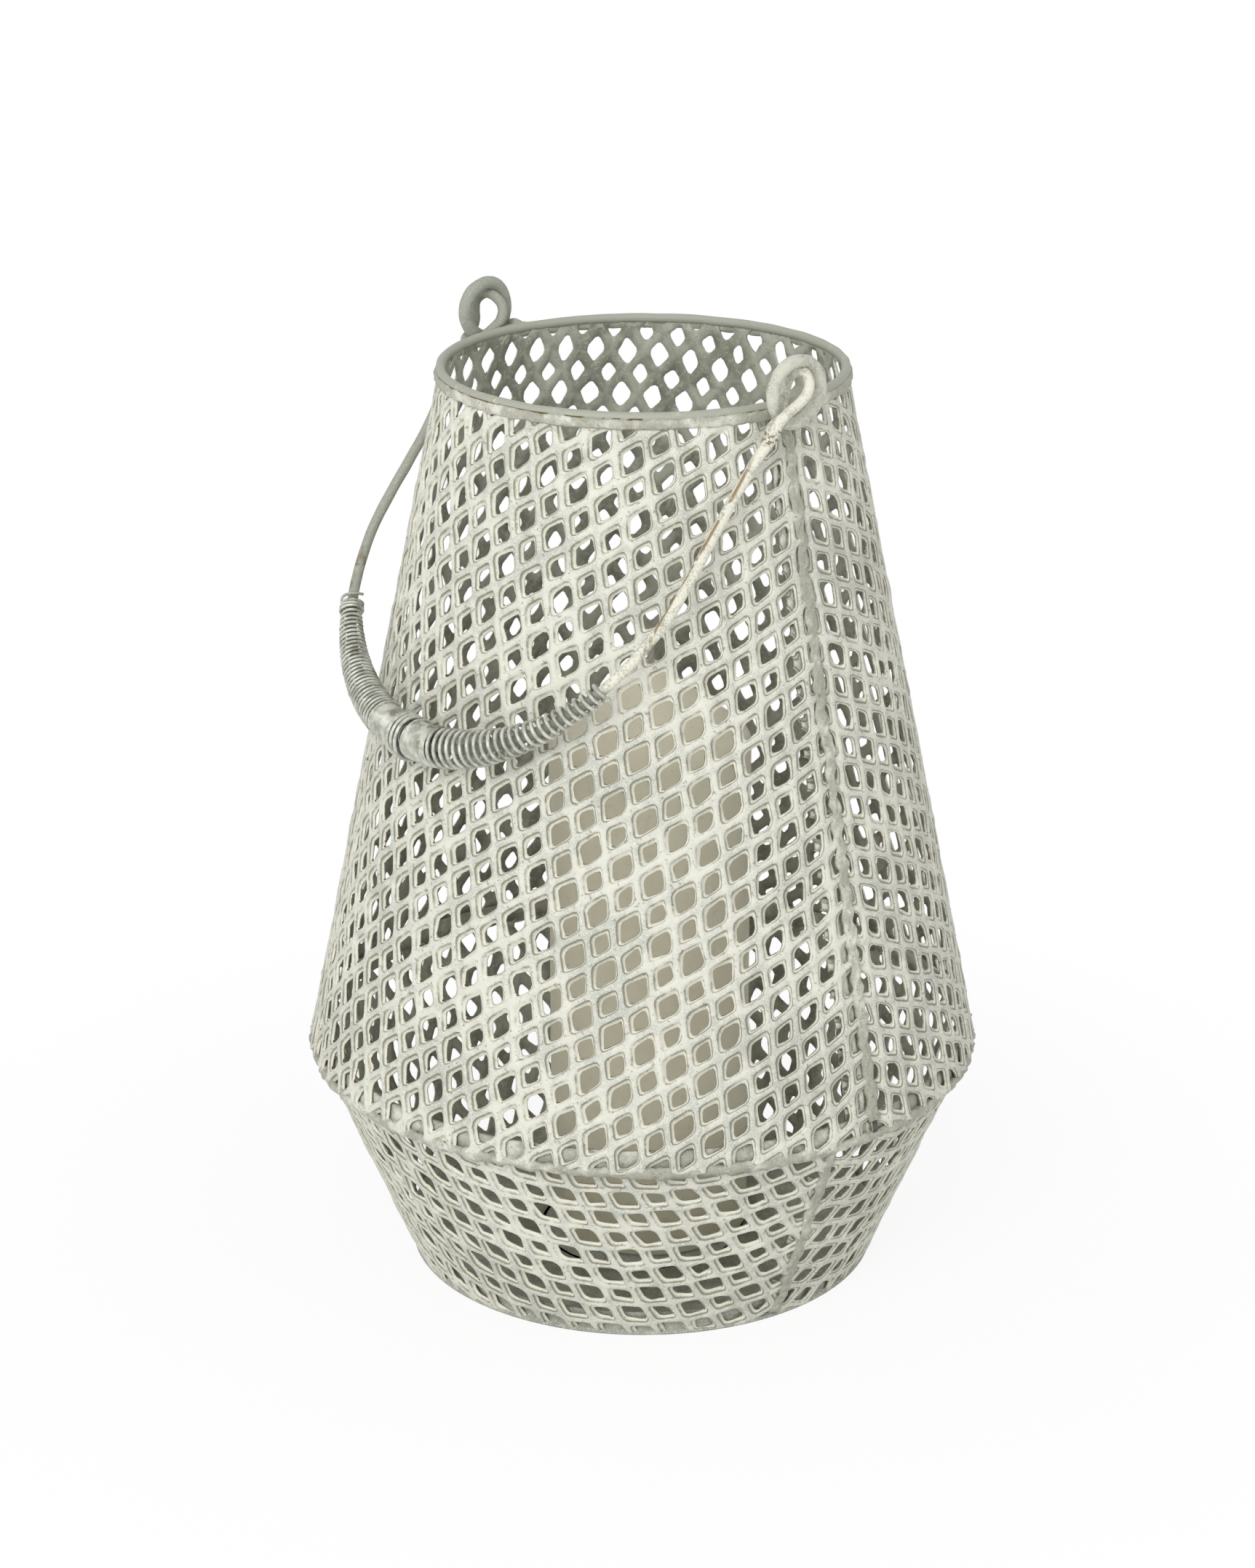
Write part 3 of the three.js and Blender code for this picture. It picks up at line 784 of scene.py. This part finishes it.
def whiter_to_the_right(name, **settings):
    """Paint on wire that turns greyer towards the left side of the lantern and whiter towards the right."""
    made = painted(name, relief_level=0.12, bump=0.00025, Dusty=0.35, **settings)
    tree, coat, _, (x, _, _) = opened(made)
    tree.links.new(slope(tree, x, -0.05, 0.05, 0.8, -0.15), coat.inputs["Thin"])
    return made


ear_paint = whiter_to_the_right(
    "ear_paint", Paint=colour("C9C8BB"), Bare=colour("9A9D91"), Rusting=0.35
)
braze_paint = painted("painted_braze", relief_level=0.62, bump=0.0004, Thin=0.1)
for side, name, ear_radius, ear_wire in ((1, "right", 8.6, 3.7), (-1, "left", 7.9, 3.9)):
    bend = []
    for k in range(24):
        turn = math.radians(15 * k)
        reach_out = ear_radius + 0.2 * math.sin(3 * turn + side)
        bend.append((
            side * (ear_offset + 0.4 * math.sin(turn + 1)),
            pivot.y + reach_out * math.cos(turn),
            pivot.z + reach_out * math.sin(turn),
        ))
    ring_shape = wire(bend, ear_wire, closed=True)
    knocked(ring_shape, 0.22, 4.0)
    ring = finished(f"{name}_ear", joined(ring_shape))
    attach(ring, "lantern")
    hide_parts(f"{name}_ear_ring")
    ring.data.materials.append(ear_paint)
    foot = lump((side * 61.7, pivot.y + 8.6, 271.7), (3.3, 2.0, 1.9), 0, 0.4)
    flare = lump((side * 59.3, pivot.y + 7.2, 271.6), (1.7, 5.6, 1.6), 0, 0.4)
    smear = lump((side * 60.6, pivot.y + 1.5, 268.4), (2.9, 4.2, 2.4), 10, 0.7)
    braze = finished(f"{name}_ear_braze_lump", joined(foot, flare, smear))
    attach(braze, "lantern")
    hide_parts(f"{name}_ear_braze")
    braze.data.materials.append(braze_paint)

# Seam solder: a thin ragged line of solder along the cut edge of each lap, with the stumps of the cut
# strands crossing it aslant.


stump_spacing = 4.7
bead_depth = 1.6
upper_bead_start, upper_bead_shift = 300.5, 0.7
bowl_bead_start = 178.5


def solder_bead(name, node, length, width, thickness, place):
    """A low ragged bead, flat underneath, laid along a line by the given function."""
    bead = bmesh.new()
    bmesh.ops.create_grid(bead, x_segments=8, y_segments=round(length / 0.6), size=0.5)
    for corner in bead.verts:
        across, along = 2 * corner.co.x, (corner.co.y + 0.5) * length
        here = Vector((along / 3.1, 1.7, across / 2))
        spread = width / 2 * (1 + 0.7 * noise.noise(here))
        wander = 1.2 * noise.noise(Vector((along / 4.0, 8.2, 0)))
        stump = max(0.0, math.cos(math.tau * (along + 0.9 * across * width) / stump_spacing)) ** 2
        lumpy = 1.4 * noise.noise(Vector((along / 1.6, across, 4.4)))
        top = thickness * (1 - across ** 2) * (0.5 + lumpy + stump)
        corner.co = place(across * spread + wander, along, top)
    bmesh.ops.recalc_face_normals(bead, faces=bead.faces)
    under = bmesh.ops.extrude_face_region(bead, geom=bead.faces[:])["geom"]
    for corner in under:
        if isinstance(corner, bmesh.types.BMVert):
            corner.co *= 1 - bead_depth / corner.co.length
    made = finished(name, joined(bead))
    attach(made, "lantern")
    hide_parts(node)
    made.data.materials.append(solder_paint)


def on_upper_edge(across, along, height):
    slant = upper_bead_start + along
    turn = math.radians(upper_to) + (across - upper_bead_shift) / slant
    return upper_place(slant * math.sin(turn), slant * math.cos(turn), height)


def on_bowl_edge(across, along, height):
    slant = bowl_bead_start + along
    turn = math.radians(bowl_to) + across / slant
    return bowl_place(slant * math.sin(turn), slant * math.cos(turn), height)


solder_bead("upper_seam_solder", "upper_seam_braze", 201.0, 3.6, 0.4, on_upper_edge)
solder_bead("lower_seam_solder", "lower_seam_braze", 69.0, 3.4, 0.5, on_bowl_edge)

# Bail: one length of wire. Each end is bent into a long eye round its ear ring, up in front of the
# ring, over and down behind it, and pressed against the leg. Old paint and rust streaks cover it.

bail_lean = math.radians(39.30)
bail_down = Vector((0, -math.sin(bail_lean), -math.cos(bail_lean)))
bail_normal = Vector((1, 0, 0)).cross(bail_down)
leg_length = 57.3
arch_depth = 70.0
bail_thickness = 3.0
pressed_left, pressed_right = 2.8, 1.7
pressed_above, pressed_over = 98, 45


def in_bail(across, down, proud=0.0):
    return pivot + Vector((across, 0, 0)) + down * bail_down + proud * bail_normal


def arch_point(turn):
    """Half an ellipse, with both its ends pressed a little inwards."""
    across, down = ear_offset * math.sin(turn), leg_length + arch_depth * math.cos(turn)
    share = min(1.0, max(0.0, (pressed_above - down) / pressed_over))
    pressed = (pressed_left if across < 0 else pressed_right) * share
    return across - math.copysign(pressed, across), down


# Each course runs from the tail's end round the eye and down the leg. A point is its distance outside
# the ear, its distance down from the pivot line, how far it lies behind the bail's plane, and its
# share of the wire's thickness.
right_course = [
    (-0.7, 15.4, -0.9, 0.85), (-1.3, 13.2, -0.4, 1), (-2.6, 11.0, 0.8, 1), (-3.6, 8.6, 2.2, 1),
    (-4.1, 5.6, 2.4, 1), (-4.4, 2.4, 1.3, 1), (-4.4, -1.1, -0.4, 1), (-3.6, -3.5, -1.3, 1),
    (-1.9, -4.9, -1.8, 1), (0.4, -5.2, -1.9, 1), (2.4, -4.5, -1.7, 1), (3.8, -2.8, -1.1, 1),
    (4.4, 0.0, -0.6, 1), (4.3, 2.8, -0.9, 1), (3.9, 6.0, -2.0, 1), (3.4, 8.4, -2.7, 1),
    (2.9, 10.8, -3.0, 1.04), (2.1, 14.4, -2.0, 1.08), (0.1, 20.2, -1.0, 1.02), (-1.2, 30.0, -0.3, 1),
    (-1.7, 43.0, 0, 1),
]
left_course = [
    (1.3, 12.4, 0.9, 0.85), (3.2, 9.6, 1.6, 1), (3.7, 7.0, 2.4, 1), (3.9, 3.4, 1.7, 1), (4.3, 0.8, 0.0, 1),
    (4.4, -1.6, -1.1, 1), (3.8, -3.6, -1.0, 1), (2.2, -4.7, -0.9, 1), (0.4, -4.8, -0.5, 1),
    (-1.4, -4.4, 0.4, 1), (-3.0, -3.5, 1.6, 1), (-4.0, -1.8, 2.7, 1), (-4.5, 0.4, 3.3, 1),
    (-4.5, 2.6, 2.8, 1), (-4.3, 5.0, 2.0, 1), (-4.1, 7.2, 1.1, 1), (-3.6, 9.3, 0.2, 1),
    (-2.5, 11.4, -0.3, 1.04), (-0.6, 13.6, -0.5, 1.08), (0.6, 16.4, -1.2, 1), (0.2, 22.0, -1.0, 1),
    (-1.6, 30.0, -0.4, 1), (-2.7, 40.0, 0, 1), (-2.8, 50.0, 0, 1),
]


def eye_and_leg(side, course):
    points = []
    for aside, down, behind, share in course:
        points.append((*in_bail(side * (ear_offset + aside), down, behind), share))
    return points


arch_course = [(*in_bail(*arch_point(math.radians(turn))), 1) for turn in range(81, -82, -9)]
whole_course = eye_and_leg(1, right_course) + arch_course + eye_and_leg(-1, left_course)[::-1]
bail_shape = wire(whole_course, bail_thickness)
knocked(bail_shape, 0.2, 7.0)
bail = finished("bent_bail", joined(bail_shape))
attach(bail, "bail")
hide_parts("bail_wire")


def streaked():
    """The bail's paint, with a long streak of rust down the upper side of the right leg, rust where the
    right eye's tail is pinched against it and where the grip's end rubs the left leg, and painted
    shadow darkening the wire under the grip."""
    made = whiter_to_the_right(
        "bail_paint", Paint=colour("DCDACA"), Bare=colour("999C8F"), Rusting=0.5
    )
    tree, coat, place, (x, _, z) = opened(made)
    along_leg = within(tree, sum_of(tree, (x, 1.0), (z, -0.06)), 0.0484, 0.0488, 0.0493, 0.0498)
    streak = product(tree, along_leg, within(tree, z, 0.206, 0.222, 0.256, 0.264))
    streak = product(tree, streak, step(tree, grain(tree, place, 210, 4), 0.40, 0.50))
    pinch = product(tree, within(tree, z, 0.2645, 0.2655, 0.2685, 0.2695), step(tree, x, 0.0, 0.01))
    pinch = product(tree, pinch, step(tree, grain(tree, place, 900, 2), 0.52, 0.58))
    rubbed = product(tree, step(tree, x, -0.050, -0.056), step(tree, z, 0.226, 0.208))
    rubbed = product(tree, rubbed, step(tree, grain(tree, place, 240, 4), 0.50, 0.58))
    # Painted shadow: the wire inside the grip is darkened where the coil shades it.
    painted_shadow_under_grip = step(tree, z, 0.2045, 0.2015)
    tone = coat.outputs["Colour"]
    masks = (
        (streak, 0.85, "806234"), (pinch, 0.8, "5A4220"),
        (rubbed, 0.7, "6F5A38"), (painted_shadow_under_grip, 0.8, "6B6D60"),
    )
    for mask, share, tint in masks:
        tone = blended(tree, product(tree, mask, share), tone, colour(tint))
    return covered(made, tone)


bail.data.materials.append(streaked())

# Grip: one open spring of wire, spindle-shaped, threaded on the bail. It is crowded at the left end and
# pulled apart in two places, where a close winding of thinner wire binds it.

grip_reach = 56.3
winding_wire = 0.62
coil_wire = 1.0
crowded_to = -53.2
first_binding, second_binding = (-15.2, -7.4), (-2.0, 6.5)
bound_coil = ((-14.2, -8.4), (-1.0, 5.0))
coil_resumes = 6.0
thinner_left, thicker_right = 0.85, 1.1


def grip_radius(turn):
    """From the bail's middle line to the middle of the coil's wire, fuller towards the left."""
    swell = max(0.0, math.cos(math.radians(90 * turn / grip_reach)))
    return 2.55 + 3.0 * swell ** (1.15 if turn < 0 else 1.85)


def winding(stretches, radius_at, steps, thickness, sides):
    """A coil round the arch. Each stretch is its two ends in degrees and its number of turns."""
    points = []
    angle = math.pi
    for start, end, turns in stretches:
        count = max(2, round(turns * steps))
        for k in range(count):
            turn = start + (end - start) * k / count
            angle = angle + math.tau * turns / count
            away = Vector((arch_depth * math.sin(math.radians(turn)), 0, 0))
            away = (away + ear_offset * math.cos(math.radians(turn)) * bail_down).normalized()
            radial = math.cos(angle) * away + math.sin(angle) * bail_normal
            place = in_bail(*arch_point(math.radians(turn))) + radius_at(turn) * radial
            points.append((*place, thinner_left if turn < -15 else thicker_right))
    return wire(points, thickness, sides, bent_smooth=False)


def binding_radius(turn):
    """Just inside the coil's. Between the two bindings the thin wire runs down to the bail."""
    between = min(1.0, max(0.0, 2.2 - abs(turn + 4.7)))
    return grip_radius(turn) - 0.25 - 2.3 * between


def coil_radius(turn):
    crowded = 0.5 if turn < crowded_to else 0.0
    loose_end = 7.0 * max(0.0, -56.0 - turn)
    spare = 0.6 if first_binding[1] < turn < second_binding[0] else 0.0
    bound = 1.0 if any(low < turn < high for low, high in bound_coil) else 0.0
    loose = 0.16 * noise.noise(Vector((turn * 0.9, 2.0, 5.0)))
    return grip_radius(turn) + crowded + loose_end + spare - bound + loose


binding = winding(
    [(*first_binding, 14), (first_binding[1], second_binding[0], 3), (*second_binding, 15)],
    binding_radius, 24, winding_wire, 8,
)
coil = winding(
    [
        (-grip_reach, crowded_to, 3.5), (crowded_to, first_binding[0], 29), (*first_binding, 1),
        (first_binding[1], second_binding[0], 3.5), (second_binding[0], coil_resumes, 1.5),
        (coil_resumes, grip_reach, 25),
    ],
    coil_radius, 24, coil_wire, 8,
)
spring_paint, tree, shader, place = new_material("spring_wire")
dull = grain(tree, place, 300, 3)
fine = grain(tree, place, 2500, 2)
tone = blended(tree, step(tree, dull, 0.35, 0.65), colour("CDCEC3"), colour("9FA196"))
stains = step(tree, grain(tree, place, 150, 4), 0.58, 0.66)
tone = blended(tree, product(tree, stains, 0.6), tone, colour("6E6249"))
tree.links.new(tone, shader.inputs["Base Color"])
shader.inputs["Metallic"].default_value = 0.2
rough = sum_of(tree, (dull, 0.4), (fine, 0.3))
tree.links.new(rough, shader.inputs["Roughness"])
surface = add(tree, "ShaderNodeBump", Strength=0.3, Distance=0.0001, Height=fine)
tree.links.new(surface.outputs["Normal"], shader.inputs["Normal"])
for name, node, shape in (("close_binding", "grip_core", binding), ("open_coil", "grip_coil", coil)):
    wound = finished(name, joined(shape))
    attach(wound, "bail")
    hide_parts(node)
    wound.data.materials.append(spring_paint)

# Candle: a plain ivory pillar with a conical top, cast in a mould and never lit. It stands loose on
# the base, a little off the middle.

candle_place = (-2.9, 5.6, 0)
candle_foot = 1.5
side_profile = [
    (0.0, candle_foot), (28.8, candle_foot), (30.0, candle_foot + 1.2), (30.0, 60.0), (30.0, 110.0),
    (30.0, 156.4), (29.7, 158.2), (28.8, 159.9), (27.6, 160.9), (18.0, 168.3), (8.0, 176.2), (3.2, 180.4),
    (2.2, 181.4), (1.2, 180.6), (0.0, 180.0),
]
pillar = bmesh.new()
corners = [pillar.verts.new((radius, 0, level)) for radius, level in side_profile]
edges = [pillar.edges.new((corners[k], corners[k + 1])) for k in range(len(corners) - 1)]
spin(pillar, corners + edges, 96)
bmesh.ops.remove_doubles(pillar, verts=pillar.verts, dist=0.001)
knocked(pillar, 0.12, 14.0)
bmesh.ops.translate(pillar, verts=pillar.verts, vec=candle_place)
candle = finished("pillar_candle", joined(pillar))
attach(candle, "candle")
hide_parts("candle")
wax, tree, shader, place = new_material("ivory_wax")
cloud = grain(tree, place, 30, 4)
mottle = grain(tree, place, 400, 3)
tone = blended(tree, step(tree, cloud, 0.3, 0.7), colour("F8F2DA"), colour("F2EAD2"))
tone = blended(tree, product(tree, step(tree, mottle, 0.55, 0.75), 0.4), tone, colour("DFD6C0"))
tree.links.new(tone, shader.inputs["Base Color"])
tree.links.new(sum_of(tree, (mottle, 0.5), (cloud, 0.4)), shader.inputs["Roughness"])
surface = add(tree, "ShaderNodeBump", Strength=0.25, Distance=0.0003, Height=mottle)
tree.links.new(surface.outputs["Normal"], shader.inputs["Normal"])
shader.inputs["Subsurface Weight"].default_value = 0.25
shader.inputs["Subsurface Radius"].default_value = (0.006, 0.005, 0.004)
candle.data.materials.append(wax)

# Wick: three cotton strands twisted together and dipped in wax.

strands = []
for strand in range(3):
    course = []
    for k in range(15):
        turn = math.radians(120 * strand + 34 * k)
        course.append((
            candle_place[0] + 0.5 * math.cos(turn) + 0.02 * k,
            candle_place[1] + 0.5 * math.sin(turn),
            178.6 + 9.6 * k / 14,
        ))
    strands.append(wire(course, 1.15, 8))
wick = finished("twisted_wick", joined(*strands))
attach(wick, "candle")
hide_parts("wick")
cotton, tree, shader, place = new_material("waxed_cotton")
fibre = grain(tree, place, 2200, 3)
tree.links.new(blended(tree, fibre, colour("CFCDC2"), colour("A8A598")), shader.inputs["Base Color"])
shader.inputs["Roughness"].default_value = 0.85
surface = add(tree, "ShaderNodeBump", Strength=0.6, Distance=0.0002, Height=fibre)
tree.links.new(surface.outputs["Normal"], shader.inputs["Normal"])
wick.data.materials.append(cotton)

# The room: a pale floor that runs into a white background, a soft white surround, and two large
# soft lamps, one above the camera and to its left and a weaker one to the right.


def seen_directly(tree):
    """1 for rays that reach the camera straight or by a mirroring surface."""
    rays = tree.nodes.new("ShaderNodeLightPath")
    seen = add(tree, "ShaderNodeMath", {"operation": "MAXIMUM"})
    tree.links.new(rays.outputs["Is Camera Ray"], seen.inputs[0])
    tree.links.new(rays.outputs["Is Glossy Ray"], seen.inputs[1])
    return seen.outputs[0]


def mixed_out(tree, share, first, second, output_kind):
    """Mixes two shaders and makes the mix the output."""
    both = tree.nodes.new("ShaderNodeMixShader")
    tree.links.new(share, both.inputs[0])
    tree.links.new(first.outputs[0], both.inputs[1])
    tree.links.new(second.outputs[0], both.inputs[2])
    surface = tree.nodes.new(output_kind)
    tree.links.new(both.outputs[0], surface.inputs["Surface"])


floor_mesh = bmesh.new()
bmesh.ops.create_grid(floor_mesh, x_segments=1, y_segments=1, size=6000)
floor = finished("floor", floor_mesh)
white = bpy.data.materials.new("floor_white")
white.use_nodes = True
tree = white.node_tree
tree.nodes.clear()
seen = seen_directly(tree)
distance = add(tree, "ShaderNodeVectorMath", {"operation": "LENGTH"})
tree.links.new(tree.nodes.new("ShaderNodeTexCoord").outputs["Object"], distance.inputs[0])
far = step(tree, distance.outputs["Value"], 0.12, 0.30)
share = product(tree, seen, sum_of(tree, (far, 0.12), (seen, 0.88)))
matt = add(tree, "ShaderNodeBsdfDiffuse", Color=(0.9, 0.9, 0.9, 1))
glow = add(tree, "ShaderNodeEmission", Color=(1, 1, 1, 1), Strength=1.0)
mixed_out(tree, share, matt, glow, "ShaderNodeOutputMaterial")
floor.data.materials.append(white)

world = bpy.data.worlds.new("surround")
bpy.context.scene.world = world
world.use_nodes = True
tree = world.node_tree
tree.nodes.clear()
soft = add(tree, "ShaderNodeBackground", Color=(1, 1, 1, 1), Strength=0.72)
plain = add(tree, "ShaderNodeBackground", Color=(1, 1, 1, 1), Strength=1.0)
mixed_out(tree, seen_directly(tree), soft, plain, "ShaderNodeOutputWorld")


def soft_lamp(name, azimuth, elevation, distance, size, power):
    lamp = bpy.data.lights.new(name, "AREA")
    lamp.shape = "DISK"
    lamp.size = size
    lamp.energy = power
    made = bpy.data.objects.new(name, lamp)
    bpy.context.collection.objects.link(made)
    a, e = math.radians(azimuth), math.radians(elevation)
    away = Vector((math.sin(a) * math.cos(e), -math.cos(a) * math.cos(e), math.sin(e)))
    made.location = Vector((0, 0, 0.14)) + distance * away
    made.rotation_euler = away.to_track_quat("Z", "Y").to_euler()


soft_lamp("key", camera_azimuth - 19, 32, 1.6, 1.0, 12.5)
soft_lamp("fill", camera_azimuth + 60, 15, 1.8, 1.2, 1.8)
bpy.context.scene.view_settings.view_transform = "Standard"
